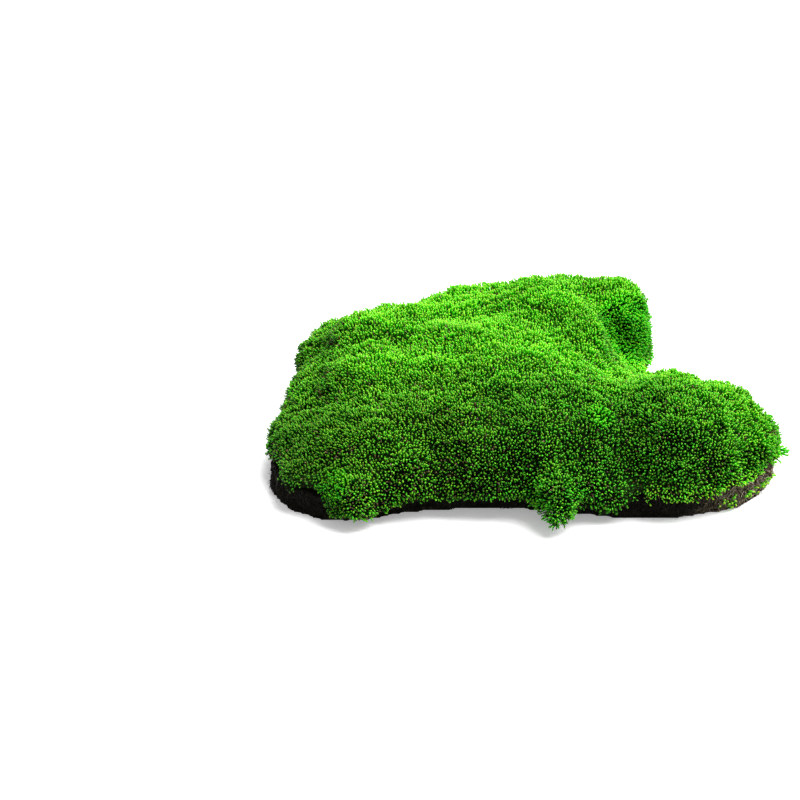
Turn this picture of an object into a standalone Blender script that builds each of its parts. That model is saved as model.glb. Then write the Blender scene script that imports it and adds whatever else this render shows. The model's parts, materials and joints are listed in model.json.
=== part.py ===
"""A clump of cushion moss, lifted with the mat of soil that it grew on.

Two pieces: the soil mat, cut flat underneath, and the moss cushion that covers it and laps over its edge.
The cushion's solid is the moss up to the tips of its shoots. +X is the clump's long way, +Y its back.
"""

import math

import bmesh
import bpy
from mathutils import Matrix, Vector

MM = 0.001

# Driving dimensions, in millimetres
SOIL_THICKNESS = 11.0  # the mat under the moss
SOIL_LUMPS = ((14, 3.5), (5, 1.6))  # the size and the depth of its coarse and its fine unevenness
CUSHION_LUMPS = ((16, 5.0), (7, 2.2))
CUSHION_FOOT = 0.4  # the lowest tufts end this far above the ground
EDGE_ROUNDING = 4.0  # the cushion's edge bulges out furthest this far above its underside
GAP = 0.5  # the soil is set into the cushion's underside with this play

PLUMP = 0.6  # below 1, a swell's side is plumper than an ellipsoid's
ROUND = 1.0
BALL_SEGMENTS = 40
BALL_RINGS = 20
CUSHION_CELL = 2.0  # the grid on which the swells grow together
CUSHION_BLEND = 3  # rounds of smoothing over the creases between them
CREASE_FILL = 24  # rounds of smoothing of the copy that fills the creases
CUSHION_FACES = 5200
SOIL_CELL = 1.8
SOIL_BLEND = 3
SOIL_FACES = 2600

SOIL_COLOUR = (0.06, 0.045, 0.035)
MOSS_COLOUR = (0.10, 0.42, 0.03)

# The swells that the cushion is made of, in millimetres: the middle, the reach along the swell's own
# two ways, the heights of its top and of its underside, and how far it is turned, in degrees.
SWELLS = (
    # the left side
    ("left_low", -77, -14, 21, 38, 28, 6, -8),
    ("left_back", -72, 22, 23, 26, 30, 6, 0),
    ("left_crown", -52, 8, 34, 25, 45, 6, 15),
    # the back
    ("back_step", -46, 26, 27, 27, 34, 5, 0),
    ("back_left", -14, 30, 40, 28, 44, 5, 10),
    ("back_crown", 16, 26, 32, 34, 50, 5, 0),
    ("back_right", 42, 34, 22, 26, 47, 5, 0),
    ("back_corner", 50, 34, 14, 21, 46, 5, 0),
    ("back_right_side", 28, 4, 16, 30, 46, 5, 8),
    # the low ground in the corner between the back and the arm
    ("corner", 52, -8, 15, 24, 20, 5, 0),
)

# The swells that slope evenly down to the front and the left, in the same way
SLOPES = (
    # the arm that runs out to the right
    ("arm_root", 58, -54, 29, 41, 43, 3, 0),
    ("arm", 74, -56, 26, 35, 40, 7, -14),
    ("arm_tip", 88, -60, 18, 20, 32, 11, -20),
    # the middle, the front and the left
    ("mound", -8, -16, 64, 62, 46, 5, 0),
    ("front_left", -64, -54, 33, 41, 31, 4, 0),
    ("front_shoulder", -46, -50, 34, 45, 37, 3, 0),
    ("front_middle", -18, -48, 38, 47, 40, 3, 0),
    ("front_broad", 10, -48, 38, 47, 42, 3, 0),
    ("front_right", 26, -50, 23, 45, 42, 2, 0),
    ("left_knee", -78, -48, 26, 35, 26, 6, 0),
    ("left_shelf", -58, -20, 32, 34, 41, 6, 10),
    ("ridge", -20, -14, 46, 18, 49, 6, -42),
)

# Where the moss hangs over the edge down to the ground: the middle, the reach, the top and the foot
TUFTS = (
    ("tuft_left", -86, -76, 10, 12, 20, 5.0),
    ("tuft_front_left", -65, -86, 14, 17, 22, 0.0),
    ("tuft_front_middle", 12, -87, 10, 20, 24, 0.0),
    ("tuft_front_right", 33, -82, 10, 13, 22, 1.0),
    ("tuft_arm", 50, -79, 11, 14, 22, 2.0),
)

# The soil mat's edge, clockwise from the front left corner, in millimetres
SOIL_EDGE = (
    (-83, -89), (-94, -79), (-99, -62), (-97, -40), (-92, -14), (-87, 12), (-78, 34), (-58, 43),
    (-34, 46), (-8, 52), (20, 54), (46, 52), (59, 38), (56, 12), (56, -12), (75, -31), (94, -38),
    (103, -51), (100, -63), (91, -75), (79, -84), (63, -89), (36, -89), (6, -83), (-24, -83), (-48, -86),
    (-70, -92),
)


def clear_scene():
    for old in list(bpy.data.objects):
        bpy.data.objects.remove(old, do_unlink=True)


def material(name, colour, roughness):
    """A plain finish: one colour, not metallic."""
    made = bpy.data.materials.new(name)
    made.use_nodes = True
    shader = made.node_tree.nodes["Principled BSDF"]
    shader.inputs["Base Color"].default_value = (*colour, 1.0)
    shader.inputs["Roughness"].default_value = roughness
    shader.inputs["Metallic"].default_value = 0.0
    return made


def move_to(obj, collection):
    for old in list(obj.users_collection):
        old.objects.unlink(obj)
    collection.objects.link(obj)
    return obj


def swell(middle, reach, top, foot, turn, fullness):
    """A ball: domed up to its top, flatter down to its foot, widest near its foot, and as plump as asked."""
    bpy.ops.mesh.primitive_uv_sphere_add(segments=BALL_SEGMENTS, ring_count=BALL_RINGS, radius=1.0)
    ball = bpy.context.object
    widest = foot + EDGE_ROUNDING
    for vertex in ball.data.vertices:
        x, y, z = vertex.co
        out = math.hypot(x, y)
        plump = out**fullness / out if out > 1e-6 else 0.0
        rise = (top - widest) if z > 0 else (widest - foot)
        vertex.co = Vector((x * plump * reach[0], y * plump * reach[1], z * rise)) * MM
    place = Matrix.Translation(Vector((middle[0], middle[1], widest)) * MM)
    ball.data.transform(place @ Matrix.Rotation(math.radians(turn), 4, "Z"))
    return ball


def applied(obj, kind, **settings):
    """The object with one more modifier, applied."""
    modifier = obj.modifiers.new(kind.title(), kind)
    for name, value in settings.items():
        setattr(modifier, name, value)
    graph = bpy.context.evaluated_depsgraph_get()
    obj.data = bpy.data.meshes.new_from_object(obj.evaluated_get(graph))
    obj.modifiers.clear()
    return obj


def lumps(name, size, depth):
    """A cloud texture that raises and lowers a surface by half of depth, and its Displace settings."""
    clouds = bpy.data.textures.new(name, "CLOUDS")
    clouds.noise_scale = size * MM
    return {"texture": clouds, "texture_coords": "GLOBAL", "strength": depth * MM, "mid_level": 0.5}


def grown_together(name, pieces, cell, blend, unevenness):
    """The pieces as one closed skin, with the creases between them smoothed."""
    bpy.ops.object.select_all(action="DESELECT")
    for piece in pieces:
        piece.select_set(True)
    body = bpy.context.view_layer.objects.active = pieces[0]
    if len(pieces) > 1:
        bpy.ops.object.join()
    body.name = body.data.name = name
    applied(body, "REMESH", mode="VOXEL", voxel_size=cell * MM)
    applied(body, "SMOOTH", factor=0.5, iterations=blend)
    for size, depth in unevenness:
        applied(body, "DISPLACE", **lumps(name, size, depth))
    return applied(body, "REMESH", mode="VOXEL", voxel_size=cell * MM)


def thinned(body, faces):
    """The skin with about that many triangles, dense where it bends."""
    applied(body, "TRIANGULATE")
    return applied(body, "DECIMATE", ratio=faces / len(body.data.polygons))


def cut_level(body, height):
    """What lies above that height, closed by a flat face."""
    mesh = bmesh.new()
    mesh.from_mesh(body.data)
    cut = bmesh.ops.bisect_plane(
        mesh,
        geom=mesh.verts[:] + mesh.edges[:] + mesh.faces[:],
        dist=1e-7,
        plane_co=(0, 0, height * MM),
        plane_no=(0, 0, 1),
        clear_inner=True,
    )
    rim = [edge for edge in cut["geom_cut"] if isinstance(edge, bmesh.types.BMEdge)]
    bmesh.ops.holes_fill(mesh, edges=rim)
    bmesh.ops.recalc_face_normals(mesh, faces=mesh.faces[:])
    mesh.to_mesh(body.data)
    mesh.free()
    return body


def soil_slab():
    """The mat's outline as a closed smooth curve, as thick as the mat and as much again below ground."""
    curve = bpy.data.curves.new("soil_edge", "CURVE")
    curve.dimensions = "2D"
    curve.fill_mode = "BOTH"
    curve.extrude = SOIL_THICKNESS * MM
    edge = curve.splines.new("BEZIER")
    edge.bezier_points.add(len(SOIL_EDGE) - 1)
    for point, (x, y) in zip(edge.bezier_points, SOIL_EDGE):
        point.co = (x * MM, y * MM, 0)
        point.handle_left_type = point.handle_right_type = "AUTO"
    edge.use_cyclic_u = True
    outline = bpy.data.objects.new("soil_edge", curve)
    bpy.context.scene.collection.objects.link(outline)
    graph = bpy.context.evaluated_depsgraph_get()
    skin = bpy.data.meshes.new_from_object(outline.evaluated_get(graph))
    slab = bpy.data.objects.new("soil_mat", skin)
    slab.matrix_world = outline.matrix_world
    bpy.context.scene.collection.objects.link(slab)
    bpy.data.objects.remove(outline)
    welded = bmesh.new()
    welded.from_mesh(slab.data)
    bmesh.ops.remove_doubles(welded, verts=welded.verts[:], dist=1e-6)
    welded.to_mesh(slab.data)
    welded.free()
    return slab


def soil_mat():
    """The slab with a crumbly side, cut flat where it was lifted from the ground."""
    body = grown_together("soil_mat", [soil_slab()], SOIL_CELL, SOIL_BLEND, SOIL_LUMPS)
    rough_cut = -SOIL_CELL
    thinned(cut_level(body, rough_cut), SOIL_FACES)
    return cut_level(body, 0)


def crease_filler(body):
    """A much smoother copy of the skin: it lies inside it, but stands out of it in the creases."""
    filler = body.copy()
    filler.data = body.data.copy()
    bpy.context.scene.collection.objects.link(filler)
    return applied(filler, "SMOOTH", factor=0.5, iterations=CREASE_FILL)


def moss_cushion():
    """The swells and tufts grown together, with the low unevenness of a moss cushion."""
    swells = [
        swell((x, y), (along, across), top, foot, turn, fullness)
        for fullness, table in ((PLUMP, SWELLS), (ROUND, SLOPES))
        for _, x, y, along, across, top, foot, turn in table
    ]
    tufts = [
        swell((x, y), (along, across), top, foot, 0, PLUMP)
        for _, x, y, along, across, top, foot in TUFTS
    ]
    plain = grown_together("moss_plain", swells + tufts, CUSHION_CELL, CUSHION_BLEND, ())
    filled = [plain, crease_filler(plain)]
    body = grown_together("moss_cushion", filled, CUSHION_CELL, CUSHION_BLEND, CUSHION_LUMPS)
    return cut_level(thinned(body, CUSHION_FACES), CUSHION_FOOT)


def seat_on(cushion, soil, helpers):
    """Cuts the room for the soil, and a little play, out of the cushion's underside."""
    room = soil.copy()
    room.data = soil.data.copy()
    room.name = "soil_room"
    helpers.objects.link(room)
    bpy.context.view_layer.update()
    applied(room, "DISPLACE", strength=GAP * MM, mid_level=0.0)
    room.hide_render = True
    room.display_type = "WIRE"
    cut = cushion.modifiers.new("Seat", "BOOLEAN")
    cut.operation = "DIFFERENCE"
    cut.object = room


def way_to_origin(objects):
    """The move that puts the origin on the ground, under the middle of the clump's box."""
    corners = [obj.matrix_world @ Vector(corner) for obj in objects for corner in obj.bound_box]
    low = Vector(map(min, zip(*corners)))
    high = Vector(map(max, zip(*corners)))
    shift = Vector((-(low.x + high.x) / 2, -(low.y + high.y) / 2, -low.z))
    return Matrix.Translation(shift)


def build():
    clear_scene()
    clump = bpy.data.collections.new("moss_clump")
    helpers = bpy.data.collections.new("cutters")
    for group in (clump, helpers):
        bpy.context.scene.collection.children.link(group)

    soil = move_to(soil_mat(), clump)
    soil.data.materials.clear()
    soil.data.materials.append(material("soil", SOIL_COLOUR, 0.95))

    cushion = move_to(moss_cushion(), clump)
    cushion.data.materials.clear()
    cushion.data.materials.append(material("moss", MOSS_COLOUR, 0.8))

    bpy.context.view_layer.update()
    to_origin = way_to_origin([cushion, soil])
    for body in (cushion, soil):
        body.data.transform(to_origin)
    seat_on(cushion, soil, helpers)
    for body in (cushion, soil):
        body.data.shade_smooth()


build()
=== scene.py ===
"""A clump of cushion moss on the mat of soil it grew on. Metres, +Z up, +X the clump's long way."""

import json
import math

import bpy
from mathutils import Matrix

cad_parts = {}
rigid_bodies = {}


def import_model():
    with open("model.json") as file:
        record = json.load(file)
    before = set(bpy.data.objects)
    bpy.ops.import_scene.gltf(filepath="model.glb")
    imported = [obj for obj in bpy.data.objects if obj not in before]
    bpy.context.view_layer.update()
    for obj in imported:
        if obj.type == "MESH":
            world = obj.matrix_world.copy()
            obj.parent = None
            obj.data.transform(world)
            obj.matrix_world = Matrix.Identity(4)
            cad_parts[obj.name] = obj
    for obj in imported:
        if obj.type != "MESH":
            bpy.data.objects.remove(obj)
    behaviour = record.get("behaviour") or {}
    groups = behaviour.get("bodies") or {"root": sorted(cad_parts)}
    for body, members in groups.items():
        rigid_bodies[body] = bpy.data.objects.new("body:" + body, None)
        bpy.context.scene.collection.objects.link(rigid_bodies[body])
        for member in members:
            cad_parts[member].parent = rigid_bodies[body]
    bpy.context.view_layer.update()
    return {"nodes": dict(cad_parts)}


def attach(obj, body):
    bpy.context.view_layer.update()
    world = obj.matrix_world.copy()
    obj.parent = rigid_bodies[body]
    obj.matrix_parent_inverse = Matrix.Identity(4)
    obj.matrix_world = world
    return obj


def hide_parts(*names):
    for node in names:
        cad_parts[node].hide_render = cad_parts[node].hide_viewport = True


MM = 0.001

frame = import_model()
cushion_solid = frame["nodes"]["moss_cushion"]
soil_solid = frame["nodes"]["soil_mat"]


# The growing form
# The living shoots and the old growth under them both follow the cushion's solid, which reaches up to the
# shoots' tips. This is that solid as a rounded skin with the small lumps of a cushion that grew unevenly.
# It is a guide, and goes once they have grown.
FORM_CELL = 1.6 * MM
FORM_SMOOTHING = 4
LUMPS = ((20 * MM, 0.9 * MM), (8 * MM, 1.0 * MM))
LUMPS_START = 2.0 * MM
LUMPS_FULL = 8.0 * MM


class Flow:
    """A value in a node tree. Arithmetic on it adds Math nodes, and node() adds any other node."""

    def __init__(self, tree, socket=None):
        self.tree = tree
        self.socket = socket

    def node(self, kind, settings=None, inputs=None, output=0):
        """A new node's output. Its settings are set first, and then its sockets get their values or links."""
        added = self.tree.nodes.new(kind)
        for name, value in (settings or {}).items():
            if name == "stops":
                ramp = added.color_ramp.elements
                while len(ramp) < len(value):
                    ramp.new(1.0)
                for stop, (place, colour) in zip(ramp, value):
                    stop.position = place
                    stop.color = (*colour, 1.0)
            else:
                setattr(added, name, value)
        for place, value in (inputs or {}).items():
            if isinstance(value, Flow):
                self.tree.links.new(value.socket, added.inputs[place])
            else:
                added.inputs[place].default_value = value
        return Flow(self.tree, added.outputs[output])

    def beside(self, output):
        """Another output of the same node."""
        return Flow(self.tree, self.socket.node.outputs[output])

    def maths(self, operation, a, b=0.0):
        return self.node("ShaderNodeMath", {"operation": operation}, {0: a, 1: b})

    def vectors(self, operation, a, b=(0.0, 0.0, 0.0)):
        return self.node("ShaderNodeVectorMath", {"operation": operation}, {0: a, 1: b})

    def scaled(self, factor):
        return self.node("ShaderNodeVectorMath", {"operation": "SCALE"}, {0: self, 3: factor})

    def part(self, axis):
        """One of a vector's three numbers."""
        return self.node("ShaderNodeSeparateXYZ", inputs={0: self}, output=axis)

    def ranged(self, low, high, to_low=0.0, to_high=1.0):
        """The value as it rises from low to high, eased over to another range and held at its ends."""
        inputs = {0: self, 1: low, 2: high, 3: to_low, 4: to_high}
        return self.node("ShaderNodeMapRange", {"interpolation_type": "SMOOTHSTEP"}, inputs)

    def clouds(self, size, detail=2.0, output=0):
        """Noise at these places, in lumps about that many metres across: 0 to 1, or a colour as output 1."""
        inputs = {"Vector": self, "Scale": 1 / size, "Detail": detail}
        return self.node("ShaderNodeTexNoise", inputs=inputs, output=output)

    def __add__(self, other):
        return self.maths("ADD", self, other)

    def __sub__(self, other):
        return self.maths("SUBTRACT", self, other)

    def __rsub__(self, other):
        return self.maths("SUBTRACT", other, self)

    def __mul__(self, other):
        return self.maths("MULTIPLY", self, other)

    def __gt__(self, other):
        return self.maths("GREATER_THAN", self, other)

    def __lt__(self, other):
        return self.maths("LESS_THAN", self, other)

    __radd__ = __add__
    __rmul__ = __mul__


def alone(piece):
    """Selects that piece and nothing else."""
    bpy.ops.object.select_all(action="DESELECT")
    piece.select_set(True)
    bpy.context.view_layer.objects.active = piece
    return piece


def finish_with(piece, kind, **settings):
    """Adds a modifier to the piece and applies it."""
    alone(piece)
    modifier = piece.modifiers.new(kind.title(), kind)
    for name, value in settings.items():
        setattr(modifier, name, value)
    bpy.ops.object.modifier_apply(modifier=modifier.name)
    return piece


def twin(piece, name):
    """A copy of the piece with a mesh of its own."""
    copy = bpy.data.objects.new(name, piece.data.copy())
    bpy.context.scene.collection.objects.link(copy)
    return alone(copy)


def skin_of(solid, name, cell):
    """The solid's shape as an even mesh of small faces."""
    skin = twin(solid, name)
    skin.data.materials.clear()
    bpy.ops.object.mode_set(mode="EDIT")
    bpy.ops.mesh.select_all(action="SELECT")
    bpy.ops.mesh.remove_doubles(threshold=0.01 * MM)
    bpy.ops.object.mode_set(mode="OBJECT")
    finish_with(skin, "REMESH", mode="VOXEL", voxel_size=cell)
    bpy.ops.object.shade_smooth()
    return skin


def growth(name):
    """The geometry that comes into a new geometry tree."""
    tree = bpy.data.node_groups.new(name, "GeometryNodeTree")
    tree.interface.new_socket(name="Geometry", in_out="INPUT", socket_type="NodeSocketGeometry")
    tree.interface.new_socket(name="Geometry", in_out="OUTPUT", socket_type="NodeSocketGeometry")
    return Flow(tree).node("NodeGroupInput")


def grow(piece, outcome):
    """Applies the tree that ends in this geometry to the piece."""
    end = outcome.tree.nodes.new("NodeGroupOutput")
    outcome.tree.links.new(outcome.socket, end.inputs[0])
    return finish_with(piece, "NODES", node_group=outcome.tree)


def pushed(form, distance):
    """The geometry with each point moved that far out along its normal."""
    out = form.node("GeometryNodeInputNormal").scaled(distance)
    return form.node("GeometryNodeSetPosition", inputs={0: form, 3: out})


def distance_to(flow, solid):
    """How far each point is from that solid's surface."""
    surface = flow.node("GeometryNodeObjectInfo", inputs={0: solid}, output="Geometry")
    return flow.node("GeometryNodeProximity", inputs={0: surface}, output="Distance")


moss_form = skin_of(cushion_solid, "moss_form", FORM_CELL)
finish_with(moss_form, "SMOOTH", factor=0.5, iterations=FORM_SMOOTHING)
form = growth("uneven growth")
place = form.node("GeometryNodeInputPosition")
clear_of_soil = distance_to(form, soil_solid).ranged(LUMPS_START, LUMPS_FULL)
for size, depth in LUMPS:
    form = pushed(form, place.clouds(size, 1.0).ranged(0.3, 0.7, -depth, 0.0) * clear_of_soil)
grow(moss_form, form)


# The old growth
# Below its living tips a moss cushion is a felt of old, dark stems, closed over the soil. It lies a few
# millimetres under the tips, and shows only as the dark between the shoots. It comes out to the soil at the
# edge. On the crowns it lies nearer to the tips. Its colour holds painted light and shade: it is painted
# green where it faces the sky and towards the back, and painted near-black shade on the sides and at the
# front.
SIDE_DEPTH = 4.5 * MM
CROWN_DEPTH = 3.2 * MM
EDGE_NEAR = 1.5 * MM
EDGE_FAR = 9.0 * MM

old_growth = twin(moss_form, "old_growth")
form = growth("sink below the tips")
depth = form.node("GeometryNodeInputNormal").part(2).ranged(0.4, 0.95, SIDE_DEPTH, CROWN_DEPTH)
sink = distance_to(form, soil_solid).ranged(EDGE_NEAR, EDGE_FAR, 0.0, -1.0) * depth
grow(old_growth, pushed(form, sink))
finish_with(old_growth, "REMESH", mode="VOXEL", voxel_size=1.5 * FORM_CELL)
bpy.ops.object.shade_smooth()


def material(name, roughness, gloss):
    """A new material, its Principled shader, and the places on the piece that its colours are made from."""
    made = bpy.data.materials.new(name)
    made.use_nodes = True
    shader = made.node_tree.nodes["Principled BSDF"]
    shader.inputs["Roughness"].default_value = roughness
    shader.inputs["Specular IOR Level"].default_value = gloss
    return made, shader, Flow(made.node_tree).node("ShaderNodeTexCoord", output="Object")


def mixed(share, one, other):
    """A colour between the two: the other one where share is 1."""
    return share.node("ShaderNodeMix", {"data_type": "RGBA"}, {0: share, 6: one, 7: other}, output=2)


def coloured(shader, colour, bumps, depth):
    """Links a colour to the shader, and the bumps that many metres deep."""
    colour.tree.links.new(colour.socket, shader.inputs["Base Color"])
    normal = bumps.node("ShaderNodeBump", inputs={"Strength": 1.0, "Distance": depth, "Height": bumps})
    colour.tree.links.new(normal.socket, shader.inputs["Normal"])


felt, shader, place = material("old_moss_felt", 0.95, 0.05)
stems = place.clouds(1.2 * MM, 3.0).ranged(0.35, 0.65)
upward = place.node("ShaderNodeNewGeometry", output="Normal").part(2)
# Painted light and shade: the felt is painted green where it faces up and towards the back, and painted dark
# shade on the sides and in front
painted_light_on_felt = upward.ranged(0.3, 0.95) * place.part(1).ranged(-0.042, 0.002, 0.3, 1.0)
dark_shaded_felt = mixed(stems, (0.005, 0.010, 0.003, 1), (0.020, 0.030, 0.010, 1))
green_lit_felt = mixed(stems, (0.010, 0.050, 0.003, 1), (0.050, 0.200, 0.012, 1))
coloured(shader, mixed(painted_light_on_felt, dark_shaded_felt, green_lit_felt), stems, 0.6 * MM)
old_growth.data.materials.append(felt)
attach(old_growth, "root")
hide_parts("moss_cushion")


# The living shoots
# The moss is thousands of upright shoots, each a little catkin under a millimetre thick, clothed in close
# scale leaves. It is painted bright yellow-green at its tip, partly the young tip's own colour and partly a
# painted highlight, green below, and painted dark towards its base, partly old growth and partly painted
# shade where no light reaches it.
SHOOT_SIDES = 5
# Depth below the tip, radius, and how much of the shoot's bend is there, in millimetres
SHOOT_RINGS = ((5.0, 0.18, 0.0), (1.3, 0.27, 0.1), (0.4, 0.36, 0.6), (0.0, 0.0, 1.0))
SHOOT_LENGTH = SHOOT_RINGS[0][0] * MM
SHOOT_BENDS = (0.2, 0.5, 0.9)
SHOOT_SPACING = 0.90 * MM
SCATTER_DENSITY = 7.5e6
BED_ENDS = (-0.076, -0.048, -0.020, 0.008, 0.036, 0.064, 0.2)
TALLEST_SHOOT = 0.7 * MM
UNEVEN_ON_SIDES = 1.4 * MM
UNEVEN_ON_CROWNS = 0.8 * MM
# Where the shoots are lush, which is larger and a purer green, where single ones shoot up, and where they
# stick out like fingers, at the narrow end: the middle of each place and its reach, in millimetres
LUSH_PATCHES = (((-76, -68, 16), 10), ((29, -48, 36), 7), ((50, 40, 31), 21))
SPROUTS = (((64, -28, 42), 3), ((85, -27, 36), 3), ((40, 44, 45), 3))
FINGERS = (((102, -44, 13), 9),)
# The lip of young shoots along the edge of the arm, painted bright: partly young growth and partly painted
# glow of light through the thin edge
LIP_START = 0.045
LIP_WIDTH = 7.0 * MM


def shoot_pattern(name, bend):
    """One shoot with its tip at the origin: a circle drawn up ring by ring and closed in a point."""
    depth, radius, lean = SHOOT_RINGS[0]
    bpy.ops.object.select_all(action="DESELECT")
    bpy.ops.mesh.primitive_circle_add(vertices=SHOOT_SIDES, radius=radius * MM, fill_type="NGON")
    shoot = bpy.context.object
    shoot.name = name
    bpy.ops.object.mode_set(mode="EDIT")
    bpy.ops.mesh.select_all(action="SELECT")
    bpy.ops.transform.translate(value=(0, 0, -depth * MM))
    for next_depth, next_radius, next_lean in SHOOT_RINGS[1:]:
        step = ((next_lean - lean) * bend * MM, 0, (depth - next_depth) * MM)
        bpy.ops.mesh.extrude_region_move(TRANSFORM_OT_translate={"value": step})
        if next_radius:
            centre = (next_lean * bend * MM, 0, -next_depth * MM)
            widen = next_radius / radius
            bpy.ops.transform.resize(value=(widen, widen, 1), center_override=centre)
            bpy.ops.transform.rotate(value=math.pi / SHOOT_SIDES, orient_axis="Z", center_override=centre)
        else:
            bpy.ops.mesh.merge(type="CENTER")
        depth, radius, lean = next_depth, next_radius, next_lean
    bpy.ops.mesh.select_all(action="SELECT")
    bpy.ops.mesh.quads_convert_to_tris(quad_method="SHORTEST_DIAGONAL", ngon_method="BEAUTY")
    bpy.ops.mesh.normals_make_consistent(inside=False)
    bpy.ops.object.mode_set(mode="OBJECT")
    bpy.ops.object.shade_smooth()
    height = shoot.data.attributes.new("height", "FLOAT", "POINT")
    for vertex, value in zip(shoot.data.vertices, height.data):
        value.value = 1 + vertex.co.z / SHOOT_LENGTH
    return shoot


def patterns_in(name, patterns, finish):
    """A collection that holds the patterns to plant, in that material."""
    kept = bpy.data.collections.new(name)
    bpy.context.scene.collection.children.link(kept)
    for pattern in patterns:
        pattern.data.materials.append(finish)
        bpy.context.scene.collection.objects.unlink(pattern)
        kept.objects.link(pattern)
    return kept


def carried(flow, name, output="Fac"):
    """A value that each plant brought along from the point it grew on."""
    return flow.node("ShaderNodeAttribute", {"attribute_name": name}, output=output)


living, shader, place = material("living_moss", 0.6, 0.15)
shader.inputs["Subsurface Weight"].default_value = 0.8
shader.inputs["Subsurface Radius"].default_value = (0.3, 1.0, 0.1)
shader.inputs["Subsurface Scale"].default_value = 1.0 * MM
height = carried(place, "height")
shade = carried(place, "shade")
# The lip, the fingers and the sprigs are painted brighter: partly young growth, partly painted glow
young = carried(place, "young")
lush = carried(place, "lush")
upward = carried(place, "out", "Vector").part(2)
# Up each shoot: a painted highlight on the bright tip, and painted shade darkening it towards the base
GREEN_UP_A_SHOOT = (
    (0.00, (0.010, 0.060, 0.002)),
    (0.50, (0.035, 0.300, 0.003)),
    (0.78, (0.110, 0.560, 0.010)),
    (0.92, (0.220, 0.680, 0.020)),
    (1.00, (0.370, 0.780, 0.060)),
)
green = place.node("ShaderNodeValToRGB", {"stops": GREEN_UP_A_SHOOT}, {0: height})
patches = place.clouds(18 * MM).ranged(0.3, 0.7, 0.8, 1.1)
sunny = upward.ranged(0.5, 0.95)
# Painted light and shade: the moss is painted palest on the sky-facing tops, painted darker and a deeper
# green in front, painted darker at the left end as painted shadow, and painted darker shade between the tips
# in both places
arm = place.part(0).ranged(0.045, 0.090)
left = place.part(0).ranged(-0.088, -0.055, 1.0, 0.0)
front = place.part(1).ranged(-0.042, 0.002, 1.0, 0.0) * (1.0 - arm)
steep = upward.ranged(0.3, 0.9, 1.0, 0.0)
# Painted shade: darker on the flatter front, on steep sides behind it, and a little on the arm
painted_light_and_shade = (front * 0.8 + arm * 0.4 - 0.5) * steep + 1.0 - front * 0.40 - arm * 0.1
# Painted shade between the tips: in front and at the left end each shoot is painted darker further below its
# tip
painted_shade_between_tips = height.ranged(0.6, 0.95, 0.7, 0.0) * place.maths("MAXIMUM", front, left)
# Tone varies at random from shoot to shoot; the lower shoots are painted darker as painted shade, and the
# sky-facing tops painted brighter and evener as painted light
variety_and_painted_sun = shade * shade * (0.8 - sunny * 0.5) + sunny * 0.35 + 0.45
# The left end is painted darker as painted shadow
tone = variety_and_painted_sun * painted_light_and_shade * patches * (1.0 - left * 0.35) * (1.0 - painted_shade_between_tips) + young * 1.1
tone = tone + lush * (1.0 - left) * (1.0 - shade) * 0.45
worn = place.part(0).ranged(-0.03, 0.0, 1.0, 0.0)
# Yellower where the shoots face the sky, as painted light, and a deeper green in front, as painted shade
yellow = place.maths("FRACT", shade * 7.0) * 0.6 + sunny * 0.2 + young * 0.2 - lush * 0.3 + 0.45
yellow = yellow - front * (1.0 - worn) * 0.15
tint = place.node("ShaderNodeCombineXYZ", inputs={0: tone * yellow, 1: tone, 2: tone * (1.0 - lush * 0.7)})
dead = shade < ((1.0 - sunny) * (worn * 0.1 + 0.04) + 0.02 - lush)
leaves = place.node("ShaderNodeTexVoronoi", inputs={"Vector": place, "Scale": 1 / (0.35 * MM)})
living_green = green.vectors("MULTIPLY", green, tint)
coloured(shader, mixed(dead, living_green, (0.18, 0.13, 0.07, 1)), leaves, 0.1 * MM)
shoot_patterns = [shoot_pattern(f"shoot_{number}", bend) for number, bend in enumerate(SHOOT_BENDS)]
shoots = patterns_in("shoots", shoot_patterns, living)


def random_value(flow, low, high, seed, kind="FLOAT"):
    """A random number, whole number or vector for each plant."""
    low_place, high_place, output = {"FLOAT": (2, 3, 1), "INT": (4, 5, 2), "FLOAT_VECTOR": (0, 1, 0)}[kind]
    inputs = {low_place: low, high_place: high, "Seed": seed}
    return flow.node("FunctionNodeRandomValue", {"data_type": kind}, inputs, output=output)


def stored(points, name, value, kind="FLOAT"):
    """The points with a value kept on each of them, which the plant there takes over."""
    inputs = {0: points, "Name": name, 3: value}
    return points.node("GeometryNodeStoreNamedAttribute", {"data_type": kind}, inputs)


def scattered(form, spacing, where, seed):
    """Points on the form's faces, at least that far apart, each with its way out and a random shade."""
    points = form.node(
        "GeometryNodeDistributePointsOnFaces",
        {"distribute_method": "POISSON"},
        {0: form, 2: spacing, 3: SCATTER_DENSITY, 5: where, 6: seed},
    )
    points = stored(points, "out", points.beside("Normal"), "FLOAT_VECTOR")
    return stored(points, "shade", random_value(form, 0.0, 1.0, seed))


def kept_value(flow, name, kind="FLOAT"):
    """A value that was stored on the points."""
    return flow.node("GeometryNodeInputNamedAttribute", {"data_type": kind}, {0: name})


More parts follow.
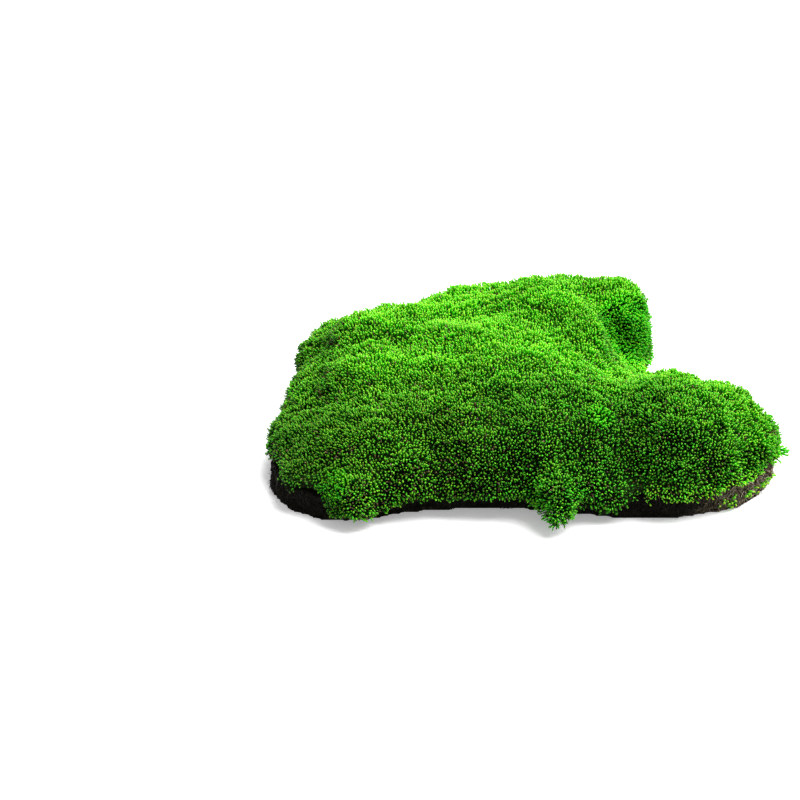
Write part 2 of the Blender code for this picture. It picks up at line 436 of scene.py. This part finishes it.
def planted(points, patterns, way, size):
    """One of the patterns at each point, grown along its way and turned at random about it."""
    aligned = points.node("FunctionNodeAlignRotationToVector", {"axis": "Z"}, {2: way})
    spin = points.node("FunctionNodeAxisAngleToRotation", inputs={1: random_value(points, 0.0, math.tau, 2)})
    turned = points.node("FunctionNodeRotateRotation", {"rotation_space": "LOCAL"}, {0: aligned, 1: spin})
    choice = random_value(points, 0, len(patterns.objects) - 1, 6, "INT")
    picked = points.node("GeometryNodeCollectionInfo", inputs={0: patterns, 1: True, 2: True})
    plants = points.node(
        "GeometryNodeInstanceOnPoints", inputs={0: points, 2: picked, 3: True, 4: choice, 5: turned, 6: size}
    )
    meshed = points.node("GeometryNodeRealizeInstances", inputs={0: plants})
    z = points.node("GeometryNodeInputPosition").part(2)
    lift = points.node("ShaderNodeCombineXYZ", inputs={2: points.maths("MAXIMUM", z, 0.0) - z})
    return points.node("GeometryNodeSetPosition", inputs={0: meshed, 3: lift})


def in_patches(place, patches):
    """How much each place is in one of the patches, from 0 to 1."""
    inside = 0.0
    for middle, reach in patches:
        centre = [number * MM for number in middle]
        away = place.vectors("DISTANCE", place, centre).beside("Value")
        inside = away.ranged(0.6 * reach * MM, reach * MM, 1.0, 0.0) + inside
    return inside


def bed(name, from_x, to_x):
    """The shoots that grow between those two places along the clump."""
    piece = twin(moss_form, name)
    form = growth(name)
    place = form.node("GeometryNodeInputPosition")
    normal = form.node("GeometryNodeInputNormal")
    from_soil = distance_to(form, soil_solid)
    growing = (from_soil > 1.0 * MM) * normal.part(2).ranged(-0.7, -0.3)
    points = scattered(form, SHOOT_SPACING, growing, 4)
    along = place.part(0)
    outside = form.maths("ADD", along < from_x, along > to_x)
    points = form.node("GeometryNodeDeleteGeometry", {"domain": "POINT"}, {0: points, 1: outside})
    out = kept_value(form, "out", "FLOAT_VECTOR")
    drift = form.vectors("SUBTRACT", place.clouds(6 * MM, 1.0, 1), (0.5, 0.5, 0.5)).scaled(0.6)
    jitter = random_value(form, (-0.18,) * 3, (0.18,) * 3, 1, "FLOAT_VECTOR")
    way = form.vectors("ADD", form.vectors("ADD", out, drift), form.vectors("ADD", jitter, (0, 0, 0.1)))
    shade = kept_value(form, "shade")
    lush = in_patches(place, LUSH_PATCHES)
    lip = from_soil.ranged(0.4 * LIP_WIDTH, LIP_WIDTH, 1.0, 0.0) * (along > LIP_START)
    fingers = in_patches(place, FINGERS)
    # The lip and the fingers carry painted brightness: partly young growth, partly painted glow
    points = stored(stored(points, "lush", lush), "young", lip + fingers * 0.5)
    pits = place.clouds(4 * MM, 1.0).ranged(0.35, 0.65, -1.0 * MM, 0.0)
    uneven = (shade - 1.0) * out.part(2).ranged(0.4, 0.95, UNEVEN_ON_SIDES, UNEVEN_ON_CROWNS)
    single = in_patches(place, SPROUTS) * (shade > 0.8) * 2.5 * MM
    finger = fingers * ((shade > 0.75) * 2.4 * MM - 0.6 * MM)
    rise = (uneven + pits) * (1.0 - lush * 0.6) + lip * 0.6 * MM + single + finger + TALLEST_SHOOT
    points = form.node("GeometryNodeSetPosition", inputs={0: points, 3: out.scaled(rise)})
    girth = random_value(form, 0.75, 1.1, 5) + lush * 0.25 + fingers * 0.4
    length = from_soil.ranged(1.5 * MM, 9 * MM, 0.4, 1.0)
    size = form.node("ShaderNodeCombineXYZ", inputs={0: girth, 1: girth, 2: length})
    grow(piece, planted(points, shoots, way, size))
    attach(piece, "root")
    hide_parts("moss_cushion")


bed_start = -0.2
for number, bed_end in enumerate(BED_ENDS):
    bed(f"shoots_{number + 1}", bed_start, bed_end)
    bed_start = bed_end


# The mat of soil
# The moss was lifted with the skin of earth that it holds: dark crumbly humus bound by its own fine roots.
# It is wet under the cushion and painted nearly black there, partly damp humus and partly painted shade under
# the overhanging moss, and dry, brown and fibrous at the narrow end, painted lighter there as painted light.
# It is cut flat underneath.
SOIL_CELL = 1.5 * MM
CLODS = ((7 * MM, 1.2 * MM), (2.2 * MM, 0.8 * MM))
CUT_EDGE = 0.8 * MM
# Where along the clump, in metres, the soil and roots turn from wet with painted shade to dry with painted
# light
DRY_AND_LIT_FROM = 0.060
DRY_AND_LIT_TO = 0.085

soil = skin_of(soil_solid, "soil", SOIL_CELL)
form = growth("crumble the soil")
place = form.node("GeometryNodeInputPosition")
above_cut = place.part(2).ranged(0.0, CUT_EDGE)
for size, depth in CLODS:
    form = pushed(form, place.clouds(size).ranged(0.3, 0.7, -depth, 0.3 * depth) * above_cut)
grow(soil, form)

earth, shader, place = material("damp_and_shaded_soil", 0.95, 0.1)
dry_and_lit = place.part(0).ranged(DRY_AND_LIT_FROM, DRY_AND_LIT_TO)
crumbs = place.clouds(1.4 * MM, 4.0).ranged(0.42, 0.7)
# Painted shade: near-black wet soil under the cushion; painted light: the pale dry soil at the narrow end
wet_shaded_soil = mixed(crumbs, (0.004, 0.004, 0.003, 1), (0.020, 0.017, 0.012, 1))
dry_lit_soil = mixed(crumbs, (0.03, 0.022, 0.013, 1), (0.75, 0.60, 0.40, 1))
coloured(shader, mixed(dry_and_lit, wet_shaded_soil, dry_lit_soil), crumbs, 0.8 * MM)
soil.data.materials.append(earth)
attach(soil, "root")
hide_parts("soil_mat")


# The crumbs and the roots
# The side of the mat is rough: crumbs of earth cling to it, and the cut ends of fine roots and dead stems lie
# along it as pale threads, thickest at the dry end.
CRUMB_SIZE = 0.4 * MM
CRUMB_SPACING = 1.25 * MM
ROOT_SPACING = 1.0 * MM
ROOT_RADIUS = 0.2 * MM
# Each root's way from its start, in millimetres: along the soil, across it and out of it
ROOT_WAYS = (
    ((-2.0, 0.0, -0.6), (-0.9, 0.1, 0.3), (0.2, 0.1, 0.5), (1.2, 0.0, 0.3), (2.1, -0.2, -0.6)),
    ((-1.5, 0.0, -0.6), (-0.8, -0.1, 0.1), (0.0, -0.1, 0.5), (0.7, 0.1, 0.8), (1.3, 0.3, 1.4)),
    ((-2.9, 0.3, -0.5), (-1.3, 0.1, 0.2), (0.1, 0.1, 0.3), (1.5, 0.0, 0.3), (3.1, 0.2, -0.4)),
)


def crumb_pattern(name, height):
    """An angular crumb, that much flatter than it is wide."""
    bpy.ops.object.select_all(action="DESELECT")
    bpy.ops.mesh.primitive_ico_sphere_add(subdivisions=1, radius=CRUMB_SIZE)
    crumb = bpy.context.object
    crumb.name = name
    bpy.ops.object.mode_set(mode="EDIT")
    bpy.ops.mesh.select_all(action="SELECT")
    bpy.ops.transform.resize(value=(1, 0.8, height), center_override=(0, 0, 0))
    bpy.ops.object.mode_set(mode="OBJECT")
    return crumb


def root_pattern(name, way):
    """A three-sided thread drawn from point to point, finer towards its end."""
    bpy.ops.object.select_all(action="DESELECT")
    turned = (0, math.pi / 2, 0)
    bpy.ops.mesh.primitive_circle_add(vertices=3, radius=ROOT_RADIUS, fill_type="NGON", rotation=turned)
    root = bpy.context.object
    root.name = name
    bpy.ops.object.transform_apply(rotation=True)
    bpy.ops.object.mode_set(mode="EDIT")
    bpy.ops.mesh.select_all(action="SELECT")
    bpy.ops.transform.translate(value=[number * MM for number in way[0]])
    for here, there in zip(way, way[1:]):
        step = [(end - start) * MM for start, end in zip(here, there)]
        bpy.ops.mesh.extrude_region_move(TRANSFORM_OT_translate={"value": step})
        centre = [number * MM for number in there]
        bpy.ops.transform.resize(value=(0.85, 0.85, 0.85), center_override=centre)
    bpy.ops.mesh.select_all(action="SELECT")
    bpy.ops.mesh.quads_convert_to_tris(quad_method="SHORTEST_DIAGONAL", ngon_method="BEAUTY")
    bpy.ops.mesh.normals_make_consistent(inside=False)
    bpy.ops.object.mode_set(mode="OBJECT")
    return root


def on_soil_side(name, patterns, spacing, where, least, most, lift=0.0, rise=0.0):
    """A piece of the patterns, planted on the side of the mat where the share is high.

    Each is turned up by lift, and raised off the soil by rise along its way.
    """
    piece = twin(soil, name)
    piece.data.materials.clear()
    form = growth(name)
    place = form.node("GeometryNodeInputPosition")
    normal = form.node("GeometryNodeInputNormal")
    side = form.maths("ABSOLUTE", normal.part(2)).ranged(0.6, 0.8, 1.0, 0.0)
    points = scattered(form, spacing, side * (place.part(2) > 0.6 * MM) * where(place), 5)
    points = stored(points, "young", 1.0)
    way = form.vectors("ADD", kept_value(form, "out", "FLOAT_VECTOR"), (0, 0, lift))
    points = form.node("GeometryNodeSetPosition", inputs={0: points, 3: way.scaled(rise)})
    size = random_value(form, (least,) * 3, (most,) * 3, 8, "FLOAT_VECTOR")
    grow(piece, planted(points, patterns, way, size))
    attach(piece, "root")
    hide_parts("soil_mat")
    return piece


thread, shader, place = material("dead_root", 0.8, 0.2)
shade = carried(place, "shade")
bleached = shade * shade * shade
dry_and_lit = place.part(0).ranged(DRY_AND_LIT_FROM, DRY_AND_LIT_TO)
fibres = place.clouds(0.5 * MM)
# Painted shade: the roots are near-black under the cushion, partly wet; painted light: pale at the dry end
wet_shaded_root = mixed(bleached, (0.006, 0.005, 0.004, 1), (0.035, 0.028, 0.020, 1))
dry_lit_root = mixed(bleached, (0.13, 0.10, 0.06, 1), (0.98, 0.88, 0.70, 1))
coloured(shader, mixed(dry_and_lit, wet_shaded_root, dry_lit_root), fibres, 0.1 * MM)
crumbs = patterns_in("crumbs", [crumb_pattern("crumb_flat", 0.6), crumb_pattern("crumb_round", 0.9)], earth)
root_patterns = [root_pattern(f"root_{number}", way) for number, way in enumerate(ROOT_WAYS)]
roots = patterns_in("roots", root_patterns, thread)
clinging = on_soil_side(
    "soil_crumbs", crumbs, CRUMB_SPACING, lambda place: place.clouds(5 * MM).ranged(0.3, 0.5), 0.5, 1.5
)
threads = on_soil_side(
    "soil_roots", roots, ROOT_SPACING, lambda place: place.part(0).ranged(0.03, 0.08, 0.25, 1.0), 0.5, 1.1
)


# The sprigs
# New moss starts low on the dry end of the soil: short bright shoots in small groups, turned up to the light.
SPRIG_SPACING = 1.1 * MM
SPRIG_LIFT = 0.8
SPRIG_RISE = 1.8 * MM
SPRIGS_FROM = 0.070
SPRIGS_BELOW = 0.006


def sprig_places(place):
    """How thickly the sprigs grow at each place, from 0 to 1."""
    on_dry_end = (place.part(0) > SPRIGS_FROM) * (place.part(2) < SPRIGS_BELOW)
    return on_dry_end * place.clouds(5 * MM, 0.0).ranged(0.45, 0.55)


sprigs = on_soil_side("soil_sprigs", shoots, SPRIG_SPACING, sprig_places, 0.8, 1.3, SPRIG_LIFT, SPRIG_RISE)

for guide in (moss_form, *shoots.objects, *crumbs.objects, *roots.objects):
    bpy.data.objects.remove(guide)


# The floor, the light and the camera
# A plain white surface, itself lit a little, under soft daylight from above and a little behind. It is seen
# from the front and above.
CAMERA_PLACE = (-0.0491, -0.6964, 0.3724)
CAMERA_DOWN = 27.0
CAMERA_LENS = 85.0

bpy.ops.object.select_all(action="DESELECT")
bpy.ops.mesh.primitive_plane_add(size=6)
floor = bpy.context.object
floor.name = "floor"
floor.visible_diffuse = False
white, shader, place = material("white_floor", 0.9, 0.2)
shader.inputs["Base Color"].default_value = (0.92, 0.92, 0.92, 1)
shader.inputs["Emission Color"].default_value = (1, 1, 1, 1)
shader.inputs["Emission Strength"].default_value = 0.3
floor.data.materials.append(white)

window = bpy.data.lights.new("window", "SUN")
window.energy = 7.0
window.angle = math.radians(60)
lamp = bpy.data.objects.new("window", window)
lamp.rotation_euler = (math.radians(-16), math.radians(30), 0)
bpy.context.scene.collection.objects.link(lamp)
world = bpy.data.worlds.new("studio")
bpy.context.scene.world = world
world.use_nodes = True
sky = world.node_tree.nodes["Background"]
sky.inputs["Color"].default_value = (1, 1, 1, 1)
sky.inputs["Strength"].default_value = 0.42
bpy.context.scene.view_settings.view_transform = "Standard"

camera = bpy.data.objects.new("camera", bpy.data.cameras.new("camera"))
camera.data.lens = CAMERA_LENS
camera.data.sensor_width = 36.0
camera.location = CAMERA_PLACE
camera.rotation_euler = (math.radians(90 - CAMERA_DOWN), 0, 0)
bpy.context.scene.collection.objects.link(camera)
bpy.context.scene.camera = camera
